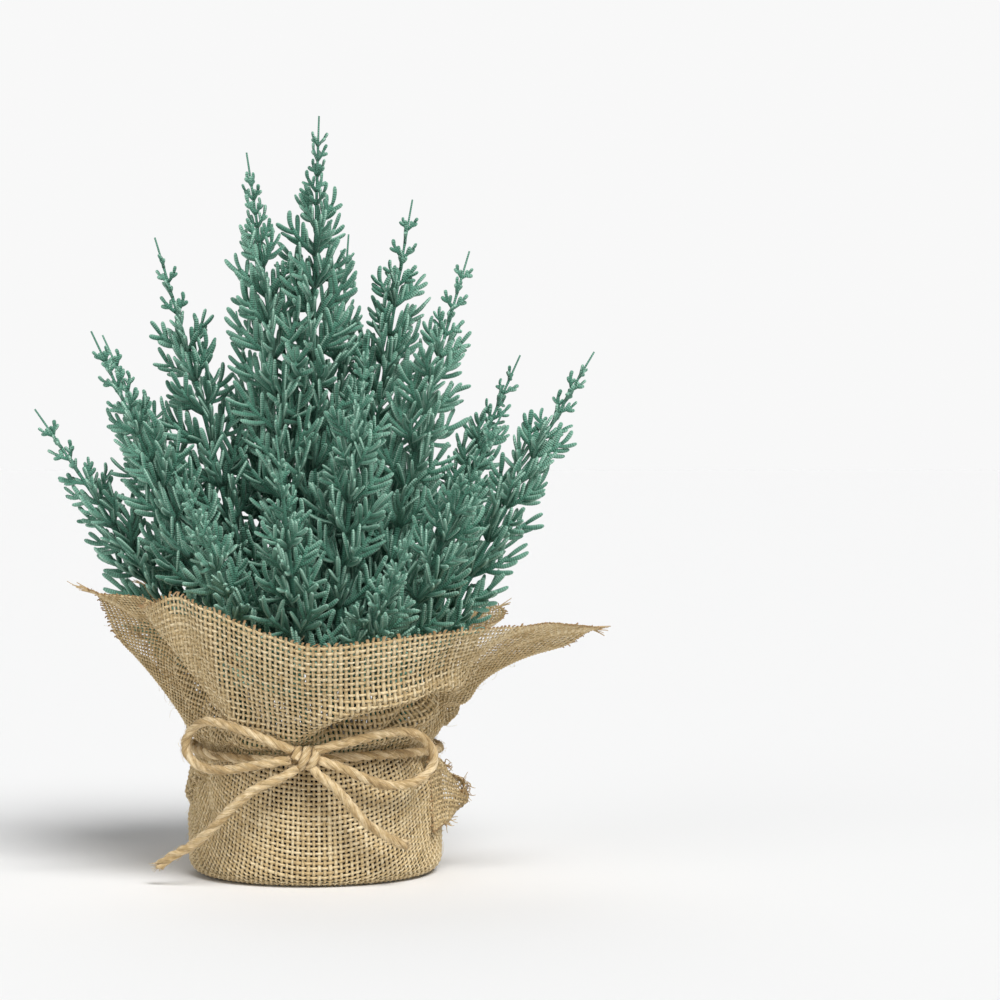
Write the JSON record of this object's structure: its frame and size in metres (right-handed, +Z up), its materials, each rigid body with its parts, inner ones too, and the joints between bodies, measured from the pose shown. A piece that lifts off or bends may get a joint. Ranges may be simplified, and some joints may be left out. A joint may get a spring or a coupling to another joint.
{
  "type": "artificial tabletop tree",
  "caption": "Artificial tabletop cypress tree: bendable moulded sprays wired into a weighted pot, wrapped in gathered burlap and tied with a twine bow.",
  "frame": {"origin": "centre of the flat underside of the wrapped base, on the surface the tree stands on", "axes": "+Z up along the tallest spray, -Y towards the front with the bow, +X to the right seen from the front"},
  "size_m": [0.258, 0.1829, 0.35],
  "materials": {
    "burlap": "matte",
    "twine": "matte",
    "foliage": "matte",
    "wire": "satin",
    "pot": "matte",
    "cement": "matte",
    "foam": "matte"
  },
  "bodies": {
    "base": {"burlap_wrap": "burlap", "burlap_flap": "burlap", "pot_liner": "pot", "cement_ballast": "cement", "foam_block": "foam", "wire_foot_01": "wire", "wire_foot_02": "wire", "wire_foot_03": "wire", "wire_foot_04": "wire", "wire_foot_05": "wire", "wire_foot_06": "wire", "wire_foot_07": "wire", "wire_foot_08": "wire", "wire_foot_09": "wire", "wire_foot_10": "wire", "wire_foot_11": "wire", "wire_foot_12": "wire", "wire_foot_13": "wire", "wire_foot_14": "wire", "wire_foot_15": "wire", "wire_foot_16": "wire", "wire_foot_17": "wire", "wire_foot_18": "wire", "wire_foot_19": "wire", "wire_foot_20": "wire", "twine_ring": "twine", "bow_knot": "twine", "bow_loop_left": "twine", "bow_loop_right": "twine", "bow_tail_left": "twine", "bow_tail_right": "twine"},
    "spray_01": {"spray_01": "foliage"},
    "spray_02": {"spray_02": "foliage"},
    "spray_03": {"spray_03": "foliage"},
    "spray_04": {"spray_04": "foliage"},
    "spray_05": {"spray_05": "foliage"},
    "spray_06": {"spray_06": "foliage"},
    "spray_07": {"spray_07": "foliage"},
    "spray_08": {"spray_08": "foliage"},
    "spray_09": {"spray_09": "foliage"},
    "spray_10": {"spray_10": "foliage"},
    "spray_11": {"spray_11": "foliage"},
    "spray_12": {"spray_12": "foliage"},
    "spray_13": {"spray_13": "foliage"},
    "spray_14": {"spray_14": "foliage"},
    "spray_15": {"spray_15": "foliage"},
    "spray_16": {"spray_16": "foliage"},
    "spray_17": {"spray_17": "foliage"},
    "spray_18": {"spray_18": "foliage"},
    "spray_19": {"spray_19": "foliage"},
    "spray_20": {"spray_20": "foliage"}
  },
  "joints": [
    {"name": "bend_01", "type": "hinge", "parent": "base", "child": "spray_01", "pos_m": [0.00057, 0.0012, 0.072], "axis": [-0.9033, 0.4291, 0], "range_deg": [-2, 2]},
    {"name": "bend_02", "type": "hinge", "parent": "base", "child": "spray_02", "pos_m": [-0.00942, -0.0018, 0.07178], "axis": [0.1877, -0.9822, 0], "range_deg": [-2, 3]},
    {"name": "bend_03", "type": "hinge", "parent": "base", "child": "spray_03", "pos_m": [0.01398, 0.0144, 0.07099], "axis": [-0.7175, 0.6966, 0], "range_deg": [-2, 5]},
    {"name": "bend_04", "type": "hinge", "parent": "base", "child": "spray_04", "pos_m": [-0.02232, 0.0036, 0.0707], "axis": [-0.1592, -0.9872, 0], "range_deg": [-2, 5]},
    {"name": "bend_05", "type": "hinge", "parent": "base", "child": "spray_05", "pos_m": [0.02145, 0, 0.07083], "axis": [0, 1, 0], "range_deg": [-2, 5]},
    {"name": "bend_06", "type": "hinge", "parent": "base", "child": "spray_06", "pos_m": [0.0048, 0.0132, 0.07151], "axis": [-0.9398, 0.3417, 0], "range_deg": [-2, 4]},
    {"name": "bend_07", "type": "hinge", "parent": "base", "child": "spray_07", "pos_m": [-0.0303, -0.0084, 0.06932], "axis": [0.2672, -0.9637, 0], "range_deg": [-2, 7]},
    {"name": "bend_08", "type": "hinge", "parent": "base", "child": "spray_08", "pos_m": [-0.02985, 0.0072, 0.06946], "axis": [-0.2345, -0.9721, 0], "range_deg": [-2, 7]},
    {"name": "bend_09", "type": "hinge", "parent": "base", "child": "spray_09", "pos_m": [0.00726, -0.0144, 0.07136], "axis": [0.8929, 0.4502, 0], "range_deg": [-2, 4]},
    {"name": "bend_10", "type": "hinge", "parent": "base", "child": "spray_10", "pos_m": [0.039, 0.0012, 0.06748], "axis": [-0.0308, 0.9995, 0], "range_deg": [-2, 8]},
    {"name": "bend_11", "type": "hinge", "parent": "base", "child": "spray_11", "pos_m": [0.02979, 0.0186, 0.06853], "axis": [-0.5296, 0.8482, 0], "range_deg": [-2, 7]},
    {"name": "bend_12", "type": "hinge", "parent": "base", "child": "spray_12", "pos_m": [-0.0114, 0.0186, 0.07079], "axis": [-0.8526, -0.5226, 0], "range_deg": [-2, 5]},
    {"name": "bend_13", "type": "hinge", "parent": "base", "child": "spray_13", "pos_m": [-0.0384, -0.003, 0.06763], "axis": [0.0779, -0.997, 0], "range_deg": [-2, 8]},
    {"name": "bend_14", "type": "hinge", "parent": "base", "child": "spray_14", "pos_m": [0.02508, -0.0156, 0.06967], "axis": [0.5282, 0.8491, 0], "range_deg": [-2, 7]},
    {"name": "bend_15", "type": "hinge", "parent": "base", "child": "spray_15", "pos_m": [-0.00513, -0.0234, 0.07053], "axis": [0.9768, -0.2141, 0], "range_deg": [-2, 6]},
    {"name": "bend_16", "type": "hinge", "parent": "base", "child": "spray_16", "pos_m": [-0.0186, -0.0186, 0.0702], "axis": [0.7071, -0.7071, 0], "range_deg": [-2, 6]},
    {"name": "bend_17", "type": "hinge", "parent": "base", "child": "spray_17", "pos_m": [0.0006, 0.0276, 0.07], "axis": [-0.9998, 0.0217, 0], "range_deg": [-2, 6]},
    {"name": "bend_18", "type": "hinge", "parent": "base", "child": "spray_18", "pos_m": [0.0174, 0.0258, 0.06938], "axis": [-0.8291, 0.5591, 0], "range_deg": [-2, 7]},
    {"name": "bend_19", "type": "hinge", "parent": "base", "child": "spray_19", "pos_m": [-0.0216, 0.0234, 0.06924], "axis": [-0.7348, -0.6783, 0], "range_deg": [-2, 7]},
    {"name": "bend_20", "type": "hinge", "parent": "base", "child": "spray_20", "pos_m": [0.01293, -0.0264, 0.0697], "axis": [0.8981, 0.4399, 0], "range_deg": [-2, 7]}
  ]
}
